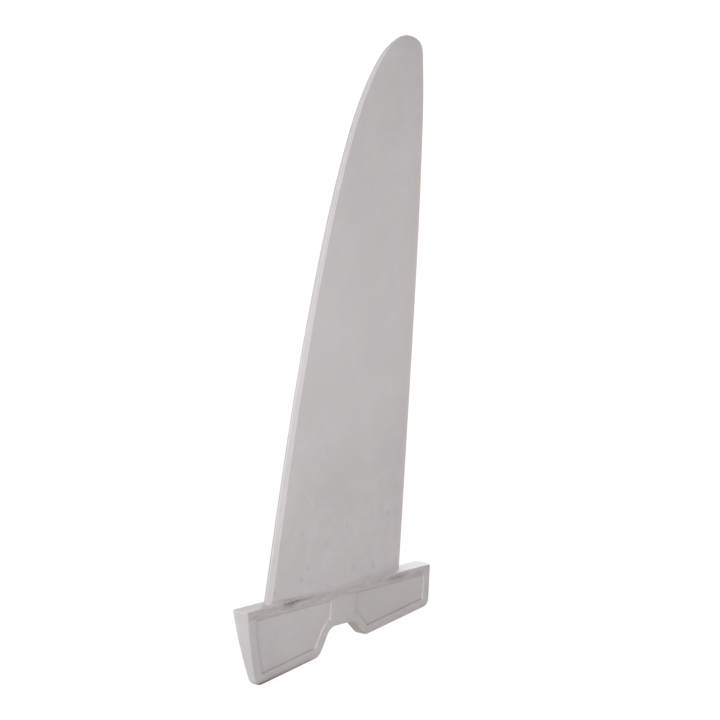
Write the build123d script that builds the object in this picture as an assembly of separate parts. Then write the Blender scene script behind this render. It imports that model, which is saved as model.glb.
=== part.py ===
from build123d import *
import os
from math import atan, cos, pi, radians, sin, sqrt, tan

# Fin of a sailing board, moulded in one piece: a foiled blade on a tapered head that
# wedges into a slot in the hull. All sizes are in millimetres and degrees.
# The origin is the middle of the head's top face, which lies flush with the hull.
# +Z runs along the blade to its tip, -X is the leading side and Y is the thickness.

# Head, seen from the side: depths are measured down from its top face
head_length = 165.0
head_width = 12.5
side_draft = 4.4
front_end_depth = 51.0
rear_end_depth = 26.3
front_end_lean = 9.1
front_end_radius = 270.0
rear_end_lean = 0.74
end_plan_radius = 13.0
front_corner_radius = 6.5
rear_corner_radius = 5.0
side_edge_radius = 0.7
top_edge_chamfer = 0.4

# Notch between the two legs of the head
notch_centre = 4.3
notch_roof_length = 21.2
notch_roof_depth = 23.6
notch_front_slope = 63.0
notch_rear_slope = 47.0
notch_front_radius = 8.0
notch_rear_radius = 6.0

# Sunk panels in both sides of each leg, with the full-width web between them
front_rim = 6.2
rear_rim = 5.2
panel_depth = 1.0
panel_corner_radius = 1.2
web_length = 22.2

# Blade, seen from the side: where its two edges start, and how they run up to the tip
blade_span = 333.5
root_leading_x = -60.3
root_trailing_x = 59.9
leading_rake = 69.0
leading_bow = 28.8
leading_bow_power = 3.0
leading_tip_run = 27.5
leading_tip_power = 13.3
trailing_rake = 29.2
trailing_bow = 7.0
trailing_bow_power = 5.1
trailing_tip_run = 18.7
trailing_tip_power = 56.0

# Blade, in section
root_thickness = 9.0
tip_thickness = 3.8
root_nose_radius = 3.0
tip_nose_radius = 1.7
trailing_edge_thickness = 1.2
thickest_at = 0.34
tip_edge_power = 60.0
tip_flat = 0.25
root_fillet_radius = 1.0
blade_section_count = 11

# Threaded brass insert in the roof of the notch, for one screw with a 6 mm thread
insert_diameter = 7.4
insert_length = 12.0
insert_recess = 0.3
insert_bore_diameter = 5.0
insert_chamfer = 0.5
insert_groove_depth = 0.4
insert_groove_length = 2.4
screw_run_out = 4.0
screw_clearance_diameter = 6.4

# How far cutting shapes reach past the faces that they cut, and past the head's two ends
overrun = 2.0
end_overrun = 10.0

# An edge this near to a plane counts as lying in it
in_plane = 0.01


def half_width(depth):
    """Half of the head's width at a depth below its top face."""
    return head_width / 2 - depth * tan(radians(side_draft))


def end_crown(half):
    """How far an end's rounded crest stands out past its corners, for half of the width there."""
    return end_plan_radius - sqrt(end_plan_radius**2 - half**2)


def front_end_centre():
    """Centre of the arc that the front end's crest follows, leaning back and curving under."""
    lean = radians(front_end_lean)
    crest_x = -head_length / 2 - end_crown(head_width / 2)
    return crest_x + front_end_radius * cos(lean), front_end_radius * sin(lean)


def front_end_x(depth):
    """Where the head's front corners lie at a depth."""
    centre_x, centre_z = front_end_centre()
    crest_x = centre_x - sqrt(front_end_radius**2 - (centre_z + depth) ** 2)
    return crest_x + end_crown(half_width(depth))


def rear_end_x(depth):
    """Where the head's rear corners lie at a depth."""
    crest_x = head_length / 2 + end_crown(head_width / 2) - depth * tan(radians(rear_end_lean))
    return crest_x - end_crown(half_width(depth))


def underside_depth(x):
    """Depth of the sloping underside of the legs."""
    along = (x + head_length / 2) / head_length
    return front_end_depth + (rear_end_depth - front_end_depth) * along


def crowned_plan(length):
    """A straight bar seen from above, with its rounded end's crest at the origin."""
    half = head_width / 2
    corner = -end_crown(half)
    outline = Wire([
        Line((-length, -half), (corner, -half)),
        ThreePointArc((corner, -half), (0, 0), (corner, half)),
        Line((corner, half), (-length, half)),
        Line((-length, half), (-length, -half)),
    ])
    return Face(outline)


def notch_corners():
    """The notch's four corners, from the front leg to the rear leg, as x and depth."""
    underside_slope = (rear_end_depth - front_end_depth) / head_length

    def foot(roof_x, run):
        """Follow a flank down from the roof to the underside, by its run for each mm of depth."""
        drop = (underside_depth(roof_x) - notch_roof_depth) / (1 - underside_slope * run)
        return (roof_x + run * drop, notch_roof_depth + drop)

    front_x = notch_centre - notch_roof_length / 2
    rear_x = notch_centre + notch_roof_length / 2
    return [
        foot(front_x, -1 / tan(radians(notch_front_slope))),
        (front_x, notch_roof_depth),
        (rear_x, notch_roof_depth),
        foot(rear_x, 1 / tan(radians(notch_rear_slope))),
    ]


def below_the_head():
    """Side view of all that lies under the head: the space below the legs and the notch."""
    corners = notch_corners()
    front_x = -head_length / 2 - end_overrun
    rear_x = head_length / 2 + end_overrun
    floor = front_end_depth + end_overrun
    around = [(front_x, underside_depth(front_x))] + corners + [
        (rear_x, underside_depth(rear_x)),
        (rear_x, floor),
        (front_x, floor),
    ]
    face = Face(Polyline([(x, -depth) for x, depth in around], close=True))
    radii = [notch_front_radius, notch_front_radius, notch_rear_radius, notch_rear_radius]
    for (x, depth), radius in zip(corners, radii):
        corner = face.vertices().sort_by_distance((x, -depth, 0))[0]
        face = face.fillet_2d(radius, [corner])
    return face


def side_view():
    """The head's own side view, without its rounded lower corners."""
    deepest = front_end_depth + overrun
    depths = (0, deepest / 2, deepest)
    front = ThreePointArc(*[(front_end_x(depth), -depth) for depth in depths])
    rear = ThreePointArc(*[(rear_end_x(depth), -depth) for depth in depths])
    outline = Wire([front, Line(front @ 1, rear @ 1), rear, Line(rear @ 0, front @ 0)])
    return Face(outline) - below_the_head()


def panel_outlines():
    """Side views of the sunk panels: each leg's outline drawn in by its rim, corners rounded."""
    web_width = web_length + 2 * panel_corner_radius
    web = Pos(notch_centre, 0) * Rectangle(web_width, 2 * (front_end_depth + overrun))
    panels = []
    for rim, last in ((front_rim, 0), (rear_rim, -1)):
        drawn_in = offset(side_view(), -rim - panel_corner_radius, kind=Kind.INTERSECTION) - web
        leg = drawn_in.faces().sort_by(Axis.X)[last]
        panels.append(offset(leg, panel_corner_radius, kind=Kind.ARC))
    return panels


def cut_panels(head):
    """Sink the panels into both drafted sides of the head."""
    draft = radians(side_draft)
    side = Plane(origin=(0, -head_width / 2, 0), x_dir=(1, 0, 0), z_dir=(0, -cos(draft), -sin(draft)))
    for outline in panel_outlines():
        for face in outline.faces():
            panel = extrude(side * face, -panel_depth) + extrude(side * face, overrun)
            head = head - panel - mirror(panel, about=Plane.XZ)
    return head


def front_ended():
    """Everything behind the front end: its rounded outline turned about the arc's centre."""
    centre_x, centre_z = front_end_centre()
    bar = Pos(-front_end_radius, 0) * mirror(crowned_plan(front_end_radius), about=Plane.YZ)
    turned = revolve(bar, Axis.Y, revolution_arc=-90)
    return Pos(centre_x, 0, centre_z) * turned


def rear_ended():
    """Everything before the rear end: its rounded outline carried down along the lean."""
    crest_x = head_length / 2 + end_crown(head_width / 2)
    bar = Pos(crest_x, 0) * crowned_plan(2 * head_length)
    return extrude(bar, front_end_depth + overrun, dir=(-tan(radians(rear_end_lean)), 0, -1))


def drafted_bar():
    """A bar with the head's two drafted sides, longer than the head."""
    deepest = front_end_depth + overrun
    top = head_width / 2
    low = half_width(deepest)
    section = Polyline([(-top, 0), (top, 0), (low, -deepest), (-low, -deepest)], close=True)
    return extrude(Plane.YZ * Face(section), head_length, both=True)


def build_blank():
    """A drafted wedge with crowned ends, cut to its two legs, with all its edges eased."""
    blank = drafted_bar() & front_ended() & rear_ended()
    head = blank - extrude(Plane.XZ * below_the_head(), head_width, both=True)
    for end, radius in ((0, front_corner_radius), (-1, rear_corner_radius)):
        across = head.edges().filter_by(lambda edge: abs(edge.center().Y) < in_plane)
        low = across.filter_by(lambda edge: edge.center().Z < -rear_end_depth / 2)
        head = fillet(low.sort_by(Axis.X)[end], radius)
    below = head.edges().filter_by(lambda edge: edge.center().Z < -in_plane)
    head = fillet(below.filter_by(lambda edge: abs(edge.center().Y) > in_plane), side_edge_radius)
    return chamfer(head.edges().filter_by(lambda edge: edge.center().Z > -in_plane), top_edge_chamfer)


def leading_x(z):
    """The blade's leading edge: raked, bowed, and swept round to the tip."""
    height = max(z, 0) / blade_span
    bow = leading_bow * height**leading_bow_power
    tip = leading_tip_run * (1 - sqrt(1 - height**leading_tip_power))
    return root_leading_x + leading_rake * z / blade_span + bow + tip


def trailing_x(z):
    """The blade's trailing edge: nearly straight, with a tight round at the tip."""
    height = max(z, 0) / blade_span
    bow = trailing_bow * height**trailing_bow_power
    tip = trailing_tip_run * (1 - sqrt(1 - height**trailing_tip_power))
    return root_trailing_x + trailing_rake * z / blade_span - bow - tip


def tip_round(z):
    """How much of its thickness the blade keeps at a height, from 1 down to 0 at the very tip."""
    return sqrt(1 - (max(z, 0) / blade_span) ** tip_edge_power)


def blade_section(z):
    """The foil at a height: a round nose, two bowed sides and a blunt trailing edge."""
    height = max(z, 0) / blade_span
    keep = tip_round(z)
    half = keep * (root_thickness + (tip_thickness - root_thickness) * height) / 2
    nose = keep * (root_nose_radius + (tip_nose_radius - root_nose_radius) * height)
    tail = keep * trailing_edge_thickness / 2
    front = leading_x(z)
    rear = trailing_x(z)
    thickest_x = front + nose + thickest_at * (rear - front - nose)
    rise = atan(2 * (half - nose) / (thickest_x - front - nose))
    fall = 2 * (half - tail) / (rear - thickest_x)
    turns = [share * (pi / 2 - rise) for share in (0, 0.5, 1)]
    nose_points = [(front + nose * (1 - cos(turn)), nose * sin(turn)) for turn in turns]

    def nose_side(side):
        """One half of the round nose, from the leading edge to the flank."""
        return ThreePointArc(*[(x, side * y) for x, y in nose_points])

    def flank(side):
        """One bowed side, from the nose over the thickest point to the trailing edge."""
        points = [nose_points[-1], (thickest_x, half), (rear, tail)]
        ends = [(cos(rise), side * sin(rise)), (1, -side * fall)]
        return Spline([(x, side * y) for x, y in points], tangents=ends)

    blunt_end = Line((rear, tail), (rear, -tail))
    outline = Wire([nose_side(-1), nose_side(1), flank(1), blunt_end, flank(-1)])
    return Pos(0, 0, z) * Face(outline)


def build_blade():
    """The blade, lofted through sections that crowd towards its rounded tip."""
    reach = blade_span - tip_flat
    step = pi / 2 / (blade_section_count - 1)
    heights = [reach * sin(step * i) for i in range(blade_section_count)]
    return loft([blade_section(z) for z in [-overrun] + heights])


def build_moulding():
    """Head and blade in one piece, with a fillet where the blade grows out of the head."""
    fin = cut_panels(build_blank()) + build_blade()
    on_top = fin.edges().filter_by(lambda edge: abs(edge.center().Z) < in_plane)
    in_length = on_top.filter_by_position(Axis.X, root_leading_x - in_plane, root_trailing_x + in_plane)
    half = root_thickness / 2 + in_plane
    foot = in_length.filter_by_position(Axis.Y, -half, half)
    return fillet(foot, root_fillet_radius) - insert_cavity()


def insert_blank():
    """The outer form of the insert: a round bush with a groove that keys it in the plastic."""
    radius = insert_diameter / 2
    foot = -notch_roof_depth + insert_recess
    head = foot + insert_length
    middle = (foot + head) / 2
    body = Pos(notch_centre, 0, middle) * Cylinder(radius, insert_length)
    core = Cylinder(radius - insert_groove_depth, insert_groove_length)
    groove = Cylinder(radius, insert_groove_length) - core
    return body - Pos(notch_centre, 0, middle) * groove


def insert_cavity():
    """What the insert takes up in the moulding, its open mouth and the run-out over its bore."""
    foot = -notch_roof_depth + insert_recess
    head = foot + insert_length
    mouth = Pos(notch_centre, 0, foot - overrun / 2) * Cylinder(insert_diameter / 2, overrun)
    run_out = Cylinder(screw_clearance_diameter / 2, screw_run_out)
    return insert_blank() + mouth + Pos(notch_centre, 0, head + screw_run_out / 2) * run_out


def build_insert():
    """The brass bush with its bore, chamfered at both ends."""
    foot = -notch_roof_depth + insert_recess
    bore = Cylinder(insert_bore_diameter / 2, insert_length)
    bush = insert_blank() - Pos(notch_centre, 0, foot + insert_length / 2) * bore
    rounds = bush.edges().filter_by(GeomType.CIRCLE)
    rims = rounds.filter_by(lambda edge: edge.radius < insert_bore_diameter / 2 + in_plane)
    return chamfer(rims, insert_chamfer)


def main():
    os.makedirs("parts", exist_ok=True)
    pieces = {
        "fin_moulding": build_moulding(),
        "threaded_insert": build_insert(),
    }
    for name, piece in pieces.items():
        print(name, round(piece.volume / 1000, 2), "cm3, valid:", piece.is_valid)
        export_step(piece, f"parts/{name}.step")


main()
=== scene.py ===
# %% [markdown]
# # A moulded fin for a sailing board
#
# The fin is one piece of pale grey plastic: a tall blade with a rounded tip, and under it a
# narrow wedge with two legs that is pulled into a slot in the hull. A brass bush with a screw
# thread sits in the roof of the notch between the legs. The CAD model already has the right
# shape, so this lesson adds what a CAD model lacks: a thread in the bush, the skin of used
# plastic, and the light of a small studio.

# %% Load the fixed frame
from math import cos, radians, sin, tan, tau

import bpy
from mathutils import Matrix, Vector


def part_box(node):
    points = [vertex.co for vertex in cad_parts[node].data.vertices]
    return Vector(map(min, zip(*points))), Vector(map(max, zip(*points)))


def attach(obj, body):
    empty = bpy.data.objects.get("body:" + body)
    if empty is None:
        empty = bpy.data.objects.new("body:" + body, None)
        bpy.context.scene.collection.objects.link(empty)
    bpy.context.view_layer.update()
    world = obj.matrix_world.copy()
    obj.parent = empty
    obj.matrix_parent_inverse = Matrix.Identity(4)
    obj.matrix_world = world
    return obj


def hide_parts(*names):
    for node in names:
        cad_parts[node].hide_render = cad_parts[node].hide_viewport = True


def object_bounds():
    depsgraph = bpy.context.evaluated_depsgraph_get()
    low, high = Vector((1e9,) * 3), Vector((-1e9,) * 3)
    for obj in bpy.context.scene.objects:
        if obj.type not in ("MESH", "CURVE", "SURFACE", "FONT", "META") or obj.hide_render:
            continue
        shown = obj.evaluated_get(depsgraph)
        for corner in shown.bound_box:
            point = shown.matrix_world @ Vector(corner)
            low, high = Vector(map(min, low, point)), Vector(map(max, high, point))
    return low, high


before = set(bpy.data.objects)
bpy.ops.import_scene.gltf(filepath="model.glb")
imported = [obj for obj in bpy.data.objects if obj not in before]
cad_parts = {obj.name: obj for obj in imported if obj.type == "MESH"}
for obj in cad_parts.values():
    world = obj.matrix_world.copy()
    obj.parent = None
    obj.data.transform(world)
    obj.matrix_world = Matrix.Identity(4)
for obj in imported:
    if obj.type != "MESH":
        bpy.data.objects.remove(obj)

cad_box = [list(corner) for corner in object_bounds()]
print("nodes:", sorted(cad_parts))
print("box in mm:", [[round(1000 * value, 1) for value in corner] for corner in cad_box])

# %% [markdown]
# ## The camera
#
# The photograph was taken from far away with a long lens: the head's parallel edges stay
# parallel in it. An orthographic camera would come close, but a real lens always keeps a
# trace of perspective. The camera therefore stands 6 m off, and its lens is worked out from
# the width that has to fill the picture at the fin. It looks a little down, from the blade's
# leading side. Its aim is the point of the blade that lies in the middle of the photograph.

# %% Place the camera
azimuth = radians(-47.8)
elevation = radians(12.745)
camera_distance = 6.0
field_width = 0.4387
sensor_width = 36.0
aim = Vector((0.0251, 0.0, 0.1377))

towards_camera = Vector((
    sin(azimuth) * cos(elevation),
    -cos(azimuth) * cos(elevation),
    sin(elevation),
))
camera_data = bpy.data.cameras.new("studio_camera")
camera_data.sensor_width = sensor_width
camera_data.lens = sensor_width * camera_distance / field_width
camera_data.clip_end = 100.0
camera = bpy.data.objects.new("studio_camera", camera_data)
camera.location = aim + camera_distance * towards_camera
camera.rotation_euler = towards_camera.to_track_quat("Z", "Y").to_euler()
bpy.context.collection.objects.link(camera)
bpy.context.scene.camera = camera
print("lens in mm:", round(camera_data.lens))

# %% [markdown]
# ## Arithmetic on sockets
#
# A material is mostly arithmetic on masks: how near is this point to the rim, how strong is
# the dirt there. Adding and linking each node by hand would be slow to write and slower to
# read, so one small class wraps an output socket. Its operators add the Math nodes, or the
# Vector Math nodes where the other side is a tuple of three numbers. Its method `node` adds
# any other node. The rest of the lesson can then write `1 - mask` or `dirt * 0.4` and mean it.


# %% One class for shader arithmetic
class Signal:
    """An output socket, with operators that add nodes behind it. Without a socket, a bare tree."""

    def __init__(self, tree, socket=None):
        self.tree = tree
        self.socket = socket

    def node(self, kind, settings, sockets, output=0):
        """Add a node: its settings first, then the values or links of its sockets."""
        made = self.tree.nodes.new(kind)
        for name, value in settings.items():
            setattr(made, name, value)
        for name, value in sockets.items():
            if isinstance(value, Signal):
                self.tree.links.new(value.socket, made.inputs[name])
            else:
                made.inputs[name].default_value = value
        return Signal(self.tree, made.outputs[output])

    def math(self, operation, first, second=0.0):
        """One Math node, or one Vector Math node where the second value is a tuple."""
        kind = "ShaderNodeVectorMath" if isinstance(second, tuple) else "ShaderNodeMath"
        return self.node(kind, {"operation": operation}, {0: first, 1: second})

    def __add__(self, other):
        return self.math("ADD", self, other)

    def __sub__(self, other):
        return self.math("SUBTRACT", self, other)

    def __rsub__(self, other):
        return self.math("SUBTRACT", other, self)

    def __mul__(self, other):
        return self.math("MULTIPLY", self, other)

    def __abs__(self):
        return self.math("ABSOLUTE", self)

    __radd__ = __add__
    __rmul__ = __mul__

    def larger(self, other):
        return self.math("MAXIMUM", self, other)

    def rise(self, start, end):
        """A smooth mask: 0 up to start, 1 from end on. It falls where end is below start."""
        settings = {"interpolation_type": "SMOOTHSTEP"}
        return self.node("ShaderNodeMapRange", settings, {0: self, 1: start, 2: end})

    def near(self, middle, reach):
        """A smooth mask: 1 at the middle, 0 from the reach on."""
        return abs(self - middle).rise(reach, 0.0)

    def parts(self):
        """The three numbers of a vector."""
        split = self.node("ShaderNodeSeparateXYZ", {}, {0: self}).socket.node
        return [Signal(self.tree, output) for output in split.outputs]

    def noise(self, scale, detail=3.0, roughness=0.5):
        """Cloudy noise between 0 and 1 at this place. The scale is in features for each mm."""
        sockets = {"Vector": self, "Scale": scale, "Detail": detail, "Roughness": roughness}
        return self.node("ShaderNodeTexNoise", {"noise_dimensions": "3D"}, sockets)

    def mix(self, first, second):
        """Blend two colours by this mask."""
        settings = {"data_type": "RGBA", "clamp_factor": True}
        return self.node("ShaderNodeMix", settings, {0: self, 6: first, 7: second}, output=2)


print("shader arithmetic is ready")


# %% Three helpers for materials
def new_material(name):
    """A material with one shader. Returns it, the shader, and the place on the part in mm."""
    material = bpy.data.materials.new(name)
    material.use_nodes = True
    shader = material.node_tree.nodes["Principled BSDF"]
    metres = Signal(material.node_tree).node("ShaderNodeTexCoord", {}, {}, output="Object")
    return material, shader, metres * (1000.0, 1000.0, 1000.0)


def feed(node, socket, signal):
    """Link a signal to one of a node's sockets."""
    signal.tree.links.new(signal.socket, node.inputs[socket])


def count_nodes(material):
    """Say how far a material has grown."""
    print(material.name, "has", len(material.node_tree.nodes), "nodes")


plastic, plastic_shader, place = new_material("moulded_grey_plastic")
count_nodes(plastic)

# %% [markdown]
# ## Where a point lies on the fin
#
# Dirt and wear follow the shape. They could be painted on an unwrapped mesh, but a painting
# doesn't know where the rim is, and it would have to be done again if the shape changed. The
# material therefore starts with a few measures of its own: which way the surface faces, how
# deep a point lies under the head's tapered side, and how far it is above the sloping
# underside. They repeat a handful of the head's sizes in mm.

# %% Sizes of the head
head_length = 165.0
head_half_width = 6.25
side_draft = 4.4
front_end_depth = 51.0
rear_end_depth = 26.3
front_rim = 6.2
rear_rim = 5.2
notch_centre = 4.3
slope = (front_end_depth - rear_end_depth) / head_length
print("slope of the underside:", round(slope, 3))

# %% Measures for the masks
x, y, z = place.parts()
facing_x, facing_y, facing_z = place.node("ShaderNodeTexCoord", {}, {}, output="Normal").parts()

above_underside = z + front_end_depth - (x + head_length / 2) * slope
on_rear_leg = x.rise(notch_centre - 1.0, notch_centre + 1.0)
rim = front_rim + on_rear_leg * (rear_rim - front_rim)
sideways = abs(facing_y).rise(0.5, 0.8)
under_side_plane = head_half_width + z * tan(radians(side_draft)) - abs(y)
sunk = under_side_plane.rise(0.35, 0.75) * z.rise(0.0, -2.0) * sideways
raised = 1.0 - sunk
top_face = z.near(0.0, 0.4) * facing_z.rise(0.6, 0.9)
on_blade = z.rise(0.5, 3.0)
count_nodes(plastic)

# %% [markdown]
# ## The skin of the plastic
#
# The real fin is moulded in a grey plastic with a satin skin. Up close it isn't one flat
# colour: the pigment is a little cloudy, some patches lean to brown and some to blue, and
# faint level streaks run over the blade's foot. A photograph wrapped round the fin would show
# one real fin's clouds, but only at its own sharpness. Noise in the part's own millimetres
# gives each of these its true size from any distance. The middle of the blade is painted a
# little paler, as painted light. The head is painted a little darker, most of all towards its
# rear, as painted shade.

# %% Pale grey with soft clouds
grey_light = (0.628, 0.597, 0.602, 1.0)
grey_deep = (0.562, 0.532, 0.540, 1.0)
grey_warm = (0.590, 0.556, 0.545, 1.0)

clouds = place.noise(0.022, detail=4.0)
flecks = place.noise(0.16, detail=5.0, roughness=0.6)
level_streaks = (place * (0.06, 0.06, 1.3)).noise(1.0) * z.rise(150.0, 10.0)
tone = clouds * 0.60 + flecks * 0.28 + level_streaks * 0.12
warm_patches = (place + (70.0, 30.0, 10.0)).noise(0.045).rise(0.42, 0.66)

colour = tone.rise(0.34, 0.62).mix(grey_deep, grey_light)
colour = (warm_patches * 0.45).mix(colour, grey_warm)
count_nodes(plastic)

# %% Painted light on the blade's middle, painted shade on the head
grey_painted_light = (0.700, 0.670, 0.672, 1.0)
head_shade_grey = (0.42, 0.385, 0.375, 1.0)

painted_light_middle = z.near(170.0, 150.0)
head_shade = z.rise(0.5, -0.5) * sideways * (0.12 + x.rise(-30.0, 30.0) * 0.24)

# Painted light: the middle of the blade is painted paler.
colour = (painted_light_middle * 0.42).mix(colour, grey_painted_light)
# Painted shade: the head is painted darker, most of all towards its rear.
colour = head_shade.mix(colour, head_shade_grey)
count_nodes(plastic)

# %% [markdown]
# ## Where the mould closed
#
# The fin comes out of a mould with two halves that meet in the fin's middle plane. That
# leaves a fine line all round it: down the leading edge, over the head's top face and along
# the underside. It could be a ridge in the mesh, but it is only a tenth of a millimetre high,
# so it is a narrow mask around the plane y = 0. On the head's top face dirt has settled beside
# it. That face shows as two steps, before and behind the blade. The front one is darkened with
# painted shade of the blade, a little bluer on its far half, and the rear one is lightened with
# painted light.

# %% Painted shade and light on the two steps of the head's top face
line_reach = 0.32
step_shade = (0.40, 0.385, 0.39, 1.0)
step_blue_shade = (0.36, 0.36, 0.42, 1.0)
step_painted_light = (0.76, 0.77, 0.80, 1.0)
settled_dirt = (0.30, 0.29, 0.30, 1.0)

mould_line = y.near(0.0, line_reach)
front_step = top_face * x.rise(-58.0, -62.0)
rear_step = top_face * x.rise(58.0, 62.0)
far_half = y.rise(0.0, 0.1)

# Painted shade on the front step, bluer on its far half, and painted light on the rear step.
colour = (front_step * 0.30).mix(colour, step_shade)
colour = (front_step * far_half * 0.30).mix(colour, step_blue_shade)
colour = (rear_step * 0.30).mix(colour, step_painted_light)
colour = (mould_line * top_face * 0.5).mix(colour, settled_dirt)
count_nodes(plastic)

# %% [markdown]
# ## The blade's two edges
#
# The blade's nose is painted with light and shade. Its very front is painted a little darker
# as painted shade, and both of its shoulders are painted pale as painted light, so that it
# shows as a light band with a clear border. Low on the blade that border is soft and the
# mould's ridge shows as a bright line, a painted highlight; higher up the ridge fades and the
# border itself is the brightest part, a painted highlight too. A mask by place would have to
# follow the swept edge, but the direction that the surface faces does that by itself: it is
# -x at the very front and turns sideways at the shoulders. The thin trailing edge has a warm
# painted glint.

# %% Painted shade and light on the nose
nose_painted_shade_grey = (0.50, 0.472, 0.48, 1.0)
nose_painted_light_grey = (0.80, 0.762, 0.765, 1.0)

nose_front = facing_x.rise(-0.70, -0.85) * on_blade
nose_strength = 0.30 + z.rise(200.0, 80.0) * 0.25
soft_border = facing_x.rise(-0.07, -0.40)
crisp_border = facing_x.rise(-0.07, -0.15)
border = soft_border + (crisp_border - soft_border) * z.rise(90.0, 170.0)
nose_shoulder = facing_x.rise(-0.72, -0.15) * border * on_blade * z.rise(326.0, 292.0)

# Painted shade on the very front of the nose, painted light on its shoulders.
colour = (nose_front * nose_strength).mix(colour, nose_painted_shade_grey)
colour = (nose_shoulder * 0.80).mix(colour, nose_painted_light_grey)
count_nodes(plastic)

# %% Painted highlights on the nose, and a painted glint on the trailing edge
border_painted_highlight = (0.92, 0.875, 0.875, 1.0)
ridge_painted_highlight = (0.80, 0.775, 0.77, 1.0)
trailing_glint_cream = (0.74, 0.61, 0.555, 1.0)

border_highlight = facing_x.near(-0.20, 0.16) * z.rise(105.0, 165.0) * z.rise(300.0, 255.0)
ridge = y.near(0.0, 2 * line_reach) * nose_front * (0.12 + z.rise(215.0, 110.0) * 0.80)
thin_edge = abs(y).rise(0.95, 0.70) * facing_x.rise(-0.35, -0.05)
trailing_edge = thin_edge * on_blade * z.rise(333.0, 322.0)

# Painted highlight along the border of the nose band.
colour = (border_highlight * 0.80).mix(colour, border_painted_highlight)
# Painted highlight on the mould's ridge; the ridge itself is the real bump further down.
colour = ridge.mix(colour, ridge_painted_highlight)
# Painted glint, warm in colour, on the thin trailing edge.
colour = (trailing_edge * 0.42).mix(colour, trailing_glint_cream)
count_nodes(plastic)

# %% [markdown]
# ## Dirt and scuffs on the head
#
# A used head shows where it has been pushed into its slot. Its upper rim is scuffed brown in
# soft streaks that run along it, down to the upper edge of the panels, or half as far over
# the front of the rear panel. The rim's sharp edge is worn light. Two dark smudges lie on the
# near side, one near each end. A painted texture would have to be redone for each change of
# the head. These masks are distances to its own edges instead, broken up by noise that is
# stretched along the rim. The number beside a mask is its strength.

# %% Scuffs along the upper rim
scuff_brown = (0.30, 0.235, 0.195, 1.0)
scuff_olive = (0.30, 0.26, 0.19, 1.0)
web_middle = 4.0
web_reach = 26.0

above_panels = z.rise(-front_rim - 0.8, -front_rim + 1.2)
on_rim = above_panels * z.rise(0.3, 0.0) * sideways * raised
clean_strip = z.rise(-3.0, -4.4) * x.near(30.0, 22.0)
fading_rear = 0.45 + x.rise(78.0, 66.0) * 0.55
long_streaks = (place * (0.10, 0.5, 0.55)).noise(1.0, detail=5.0, roughness=0.6)
fine_streaks = (place * (0.35, 0.8, 1.3)).noise(1.0, detail=4.0, roughness=0.6)
streaks = long_streaks.rise(0.38, 0.66) * 0.50 + fine_streaks.rise(0.44, 0.68) * 0.36
scuffs = on_rim * (0.14 + streaks) * fading_rear * (1.0 - clean_strip * 0.7)

by_the_web = x.near(web_middle, web_reach)
colour = (scuffs * 0.52).mix(colour, by_the_web.mix(scuff_brown, scuff_olive))
count_nodes(plastic)

# %% The rim's worn edge, and the smudges
worn_cream = (0.70, 0.62, 0.56, 1.0)
smudge_brown = (0.13, 0.105, 0.09, 1.0)

worn_edge = facing_z.near(0.70, 0.25) * z.near(-0.2, 0.6) * (1.0 - z.rise(0.0, 0.05))
near_side = y.rise(-3.0, -4.0) * sideways
front_smudge = x.near(-45.0, 10.0) * z.near(-1.6, 4.6)
front_streak = x.near(-38.0, 20.0) * z.near(-0.6, 2.0)
rear_smudge = x.near(53.0, 13.0) * z.near(-2.8, 2.4)
rear_streak = x.near(72.0, 7.0) * z.near(-3.6, 1.4)
smudged = front_smudge * 0.70 + front_streak * 0.90 + rear_smudge * 0.75 + rear_streak * 0.55
speckle = (place * (0.8, 1.0, 1.5)).noise(1.0, detail=4.0, roughness=0.65)
smudges = smudged * near_side * (0.20 + speckle.rise(0.43, 0.60) * 0.80)

colour = (worn_edge * 0.40).mix(colour, worn_cream)
colour = smudges.mix(colour, smudge_brown)
count_nodes(plastic)

# %% [markdown]
# ## Grime, and painted light and shade, low on the head
#
# The lower edge of the front leg is dark with grime, and with painted shade where it turns
# under. Grime stays in the crevice at the foot of each panel, and the rear flank of the notch,
# which faces down, gets brown painted shade. A Geometry node's pointiness could find such
# places, but it depends on how fine the mesh is. The distance to the underside and the
# direction that the surface faces find them on any mesh. The small wall that closes each panel
# at the rear gets painted light instead.

# %% Grime and painted shade along the underside
grime_and_shade_black = (0.075, 0.06, 0.05, 1.0)
rim_brown = (0.46, 0.385, 0.365, 1.0)

front_leg = x.rise(-19.0, -27.0)
low_dark_line = above_underside.rise(2.1, 1.0) * (0.54 + x.rise(-38.0, -64.0) * 0.38)
low_dark_haze = above_underside.rise(4.2, 0.4) * 0.26
low_grime_and_shade = low_dark_line.larger(low_dark_haze) * front_leg
warm_rim = above_underside.rise(5.0, 0.5) * sideways * raised

# Grime and painted shade along the front leg's lower edge, where it turns under.
colour = low_grime_and_shade.mix(colour, grime_and_shade_black)
colour = (warm_rim * 0.30).mix(colour, rim_brown)
count_nodes(plastic)

# %% Crevices, walls and the notch
crevice_brown = (0.17, 0.125, 0.09, 1.0)
wall_painted_light = (0.81, 0.775, 0.735, 1.0)
notch_shade_brown = (0.25, 0.215, 0.165, 1.0)

panel_foot = (above_underside - rim).near(0.45, 0.65) * sunk
panel_wall = facing_x.rise(-0.4, -0.7) * facing_z.rise(-0.4, -0.1) * x.rise(-72.0, -70.0)
painted_lit_wall = panel_wall * under_side_plane.rise(1.4, 1.1) * z.rise(-3.0, -4.0)
notch_flank = facing_z.rise(-0.2, -0.5) * x.near(21.0, 12.0) * z.rise(-20.0, -24.0)

colour = (panel_foot * 0.42).mix(colour, crevice_brown)
# Painted light on the small walls at the rear of the panels.
colour = (painted_lit_wall * 0.55).mix(colour, wall_painted_light)
# Painted shade, brown in tone, on the notch's down-facing rear flank.
colour = (notch_flank * 0.6).mix(colour, notch_shade_brown)
count_nodes(plastic)

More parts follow.
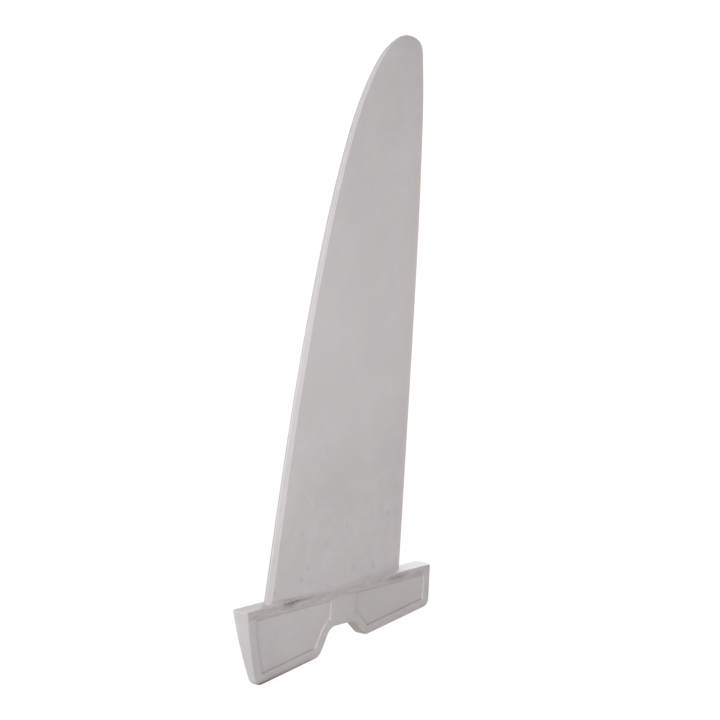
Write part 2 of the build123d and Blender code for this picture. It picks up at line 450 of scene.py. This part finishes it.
# %% [markdown]
# ## Specks at the blade's foot
#
# The foot of the blade has a faint smear and a few faint specks. Specks placed by hand would
# take a number for each, and noise gives clouds and not dots. A Voronoi texture gives one dot
# for each cell, and a second noise hides most of them. It is a flat texture here, read by x
# and z, because a solid one would leave most of its dots off the thin blade. The far face
# reads it 300 mm further on, so that the two faces don't have the same specks.

# %% A smear and a few specks
smear_olive = (0.50, 0.485, 0.43, 1.0)
speck_brown = (0.38, 0.36, 0.315, 1.0)
far_face_shift = 300.0

smear = place.noise(0.05, detail=4.0, roughness=0.6).rise(0.46, 0.66) * z.near(48.0, 48.0)
shifted_x = x + y.rise(-0.1, 0.1) * far_face_shift
flat_place = place.node("ShaderNodeCombineXYZ", {}, {"X": shifted_x, "Y": z})
cell_settings = {"voronoi_dimensions": "2D", "feature": "F1"}
cell_sockets = {"Vector": flat_place, "Scale": 0.062, "Randomness": 1.0}
from_speck = place.node("ShaderNodeTexVoronoi", cell_settings, cell_sockets)
few = place.noise(0.07, detail=0.0).rise(0.42, 0.60)
near_foot = z.rise(95.0, 25.0) * on_blade
specks = (from_speck + flecks * 0.16).rise(0.27, 0.06) * few * near_foot

colour = (smear * 0.30).mix(colour, smear_olive)
colour = (specks * 0.34).mix(colour, speck_brown)
feed(plastic_shader, "Base Color", colour)
count_nodes(plastic)

# %% [markdown]
# ## Satin and grain
#
# Moulded plastic copies the mould's polish, and handling wears it unevenly. One roughness for
# the whole fin would make it look new, so the roughness wanders a little and is higher where
# the dirt is. The grain is far too fine for the mesh. It is a bump of about a hundredth of a
# millimetre, over a slow ripple from the mould, and the mould's closing line stands up from
# both as a ridge. The heights are in mm, and the Bump node wants metres.

# %% Roughness and bump
grain_height = 0.012
ripple_height = 0.10
ridge_height = 0.10
scuff_depth = 0.03
metres_per_mm = 0.001
plastic_ior = 1.49

wear = (scuffs + smudges + low_grime_and_shade).rise(0.0, 1.0)
feed(plastic_shader, "Roughness", 0.44 + clouds * 0.10 + wear * 0.20)

grain = place.noise(1.6)
ripple = (place * (1.0, 1.0, 0.35)).noise(0.09, detail=2.0)
bumps = grain * grain_height + ripple * ripple_height
bumps = bumps + mould_line * ridge_height - scuffs * scuff_depth
bump_sockets = {"Height": bumps * metres_per_mm, "Distance": 1.0, "Strength": 1.0}
feed(plastic_shader, "Normal", place.node("ShaderNodeBump", {}, bump_sockets))
plastic_shader.inputs["IOR"].default_value = plastic_ior
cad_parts["fin_moulding"].material_slots[0].material = plastic
count_nodes(plastic)

# %% [markdown]
# ## Brass
#
# The photograph doesn't show the bush. Such a bush is turned from brass, and salt water makes
# its skin dull, and brown in places. Metal gets nearly all of its look from what it reflects:
# the base colour is the colour of the reflection. A plain metal would look like new
# jewellery, so patches of tarnish make it darker and rougher, and fine rings from the turning
# tool are a very low bump.

# %% Tarnished brass
brass_clean = (0.74, 0.55, 0.26, 1.0)
brass_tarnished = (0.36, 0.25, 0.13, 1.0)
ring_height = 0.000012

brass, brass_shader, brass_place = new_material("tarnished_brass")
tarnish = brass_place.noise(0.55, detail=5.0, roughness=0.6).rise(0.40, 0.68)
rings_of_tool = (brass_place * (0.3, 0.3, 1.0)).noise(6.0, detail=2.0)
ring_sockets = {"Height": rings_of_tool * ring_height, "Distance": 1.0, "Strength": 1.0}

feed(brass_shader, "Base Color", tarnish.mix(brass_clean, brass_tarnished))
feed(brass_shader, "Roughness", 0.26 + tarnish * 0.30)
feed(brass_shader, "Normal", brass_place.node("ShaderNodeBump", {}, ring_sockets))
brass_shader.inputs["Metallic"].default_value = 1.0
count_nodes(brass)

# %% [markdown]
# ## The thread in the bush
#
# The CAD bush has a plain bore, because a true thread is heavy for a CAD part. Here it gets
# the real one. A thread can be cut with a screw modifier and a boolean, but such a cut often
# leaves slivers. Instead, a thread is a bore whose radius depends on the angle and the height
# together: one turn further round is one pitch further up. Rings of points with that radius,
# joined to rings on the outside, give a closed bush with no cut at all. The outside has
# shallow crossed grooves, the knurl that keeps the bush from turning in the plastic.

# %% Sizes of the bush, read from the frame
low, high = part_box("threaded_insert")
axis_x = (low.x + high.x) / 2
bush_radius = (high.x - low.x) / 2
bush_length = high.z - low.z
crest_radius = 0.0025
thread_depth = 0.0005
thread_pitch = 0.001
mouth_chamfer = 0.0005
groove_depth = 0.0004
groove_half = 0.0012
knurl_depth = 0.00012
knurl_count = 30
knurl_steepness = 3
print("bush in mm:", round(2000 * bush_radius, 2), "by", round(1000 * bush_length, 2))


# %% Radii of the bore and of the outside
def triangle_wave(turns):
    """A zigzag between 0 and 1 that repeats once for each turn."""
    return abs(2 * (turns % 1.0) - 1)


def bore_radius(angle, height):
    """The thread, opened out at both mouths by a chamfer."""
    thread = crest_radius + thread_depth * triangle_wave(height / thread_pitch - angle / tau)
    from_end = min(height, bush_length - height)
    chamfer = crest_radius + max(mouth_chamfer - from_end, 0.0)
    return max(thread, chamfer)


def outside_radius(angle, height):
    """Two knurled bands with a plain groove between them."""
    from_middle = abs(height - bush_length / 2)
    if from_middle < groove_half:
        return bush_radius - groove_depth
    turns = knurl_count * angle / tau
    along = knurl_count * height / (tau * bush_radius)
    grooves = min(triangle_wave(turns + along), triangle_wave(turns - along))
    return bush_radius - knurl_depth * (1 - min(knurl_steepness * grooves, 1.0))


print("bore at the middle in mm:", round(2000 * bore_radius(0.0, bush_length / 2), 2))

# %% Rings of points, up the bore and down the outside
around = 72
rows = 132
heights = [bush_length * row / rows for row in range(rows + 1)]
rings = [(bore_radius, height) for height in heights]
rings += [(outside_radius, height) for height in reversed(heights)]

points = []
for radius_at, height in rings:
    for step in range(around):
        angle = tau * step / around
        radius = radius_at(angle, height)
        points.append((axis_x + radius * cos(angle), radius * sin(angle), low.z + height))
print("bush points:", len(points))

# %% Join the rings to a closed bush
faces = []
for ring in range(len(rings)):
    after = (ring + 1) % len(rings)
    for step in range(around):
        beside = (step + 1) % around
        faces.append((
            ring * around + step,
            after * around + step,
            after * around + beside,
            ring * around + beside,
        ))

bush_mesh = bpy.data.meshes.new("threaded_bush")
bush_mesh.from_pydata(points, [], faces)
bush_mesh.materials.append(brass)
bush = bpy.data.objects.new("threaded_bush", bush_mesh)
bpy.context.collection.objects.link(bush)
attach(bush, "root")
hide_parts("threaded_insert")
print("bush faces:", len(faces))

# %% [markdown]
# ## The floor
#
# The photograph has a plain white background with no shadow on it. Strong lamps could make a
# floor that white, but they would wash out the fin. Here the floor is white and, for the
# camera alone, most of its colour is given out rather than reflected, so that what is left of
# the fin's shadow is too faint to see. Reflections still show the floor and the room as they
# are lit.

# %% A white floor
floor_gap = 0.0002
floor_size = 14.0
floor_white = (0.86, 0.86, 0.86, 1.0)
glow_share = 0.90
glow_strength = 1.05

floor_z = cad_box[0][2] - floor_gap
bpy.ops.mesh.primitive_plane_add(size=floor_size, location=(0.0, 0.0, floor_z))
floor = bpy.context.object
floor.name = "floor"
floor_material, floor_shader, floor_place = new_material("white_floor")
floor_shader.inputs["Base Color"].default_value = floor_white
floor_shader.inputs["Roughness"].default_value = 0.9
floor_shader.inputs["Specular IOR Level"].default_value = 0.0

camera_ray = floor_place.node("ShaderNodeLightPath", {}, {}, output="Is Camera Ray")
glow_sockets = {"Color": (1.0, 1.0, 1.0, 1.0), "Strength": glow_strength}
glow = floor_place.node("ShaderNodeEmission", {}, glow_sockets)
lit = Signal(floor_place.tree, floor_shader.outputs[0])
looks = {0: camera_ray * glow_share, 1: lit, 2: glow}
floor_output = floor_material.node_tree.nodes["Material Output"]
feed(floor_output, "Surface", floor_place.node("ShaderNodeMixShader", {}, looks))
floor.data.materials.append(floor_material)
print("floor height in mm:", round(1000 * floor_z, 2))

# %% [markdown]
# ## The light
#
# The photograph has soft light with no hard shadow. One bright room would give that, but the
# fin would look flat in it, so the room is dim to all but the camera and four large square
# lamps do the rest. The key lamp stands behind the fin, high and to its left: it lights the
# head's top face and leaves the strip in front of the blade in the blade's shade. The left
# lamp lights the blade's nose and the head's front end, which are the brightest parts in the
# photograph. The front lamp fills the near side, and the rear lamp keeps the far side from
# going dark.

# %% The room
room_strength = 0.35
white_strength = 1.0

world = bpy.data.worlds.new("bright_room")
bpy.context.scene.world = world
world.use_nodes = True
background = world.node_tree.nodes["Background"]
background.inputs["Color"].default_value = (1.0, 1.0, 1.0, 1.0)
seen = Signal(world.node_tree).node("ShaderNodeLightPath", {}, {}, output="Is Camera Ray")
feed(background, "Strength", room_strength + seen * (white_strength - room_strength))
print("room strength:", room_strength)


# %% The four lamps
def add_lamp(name, location, watts, size):
    """A square lamp that faces the blade."""
    lamp_data = bpy.data.lights.new(name, "AREA")
    lamp_data.energy = watts
    lamp_data.size = size
    lamp = bpy.data.objects.new(name, lamp_data)
    lamp.location = location
    away = Vector(location) - aim
    lamp.rotation_euler = away.to_track_quat("Z", "Y").to_euler()
    bpy.context.collection.objects.link(lamp)
    print(name, "stands off in m:", round(away.length, 2))


add_lamp("key_lamp", (-1.7, 1.5, 2.2), 29.0, 1.6)
add_lamp("left_lamp", (-2.6, -0.9, 0.9), 30.0, 1.2)
add_lamp("rear_lamp", (2.6, 1.3, 1.0), 48.0, 1.2)
add_lamp("front_lamp", (-0.3, -2.3, 2.3), 20.0, 1.2)
bpy.context.scene.view_settings.view_transform = "Standard"
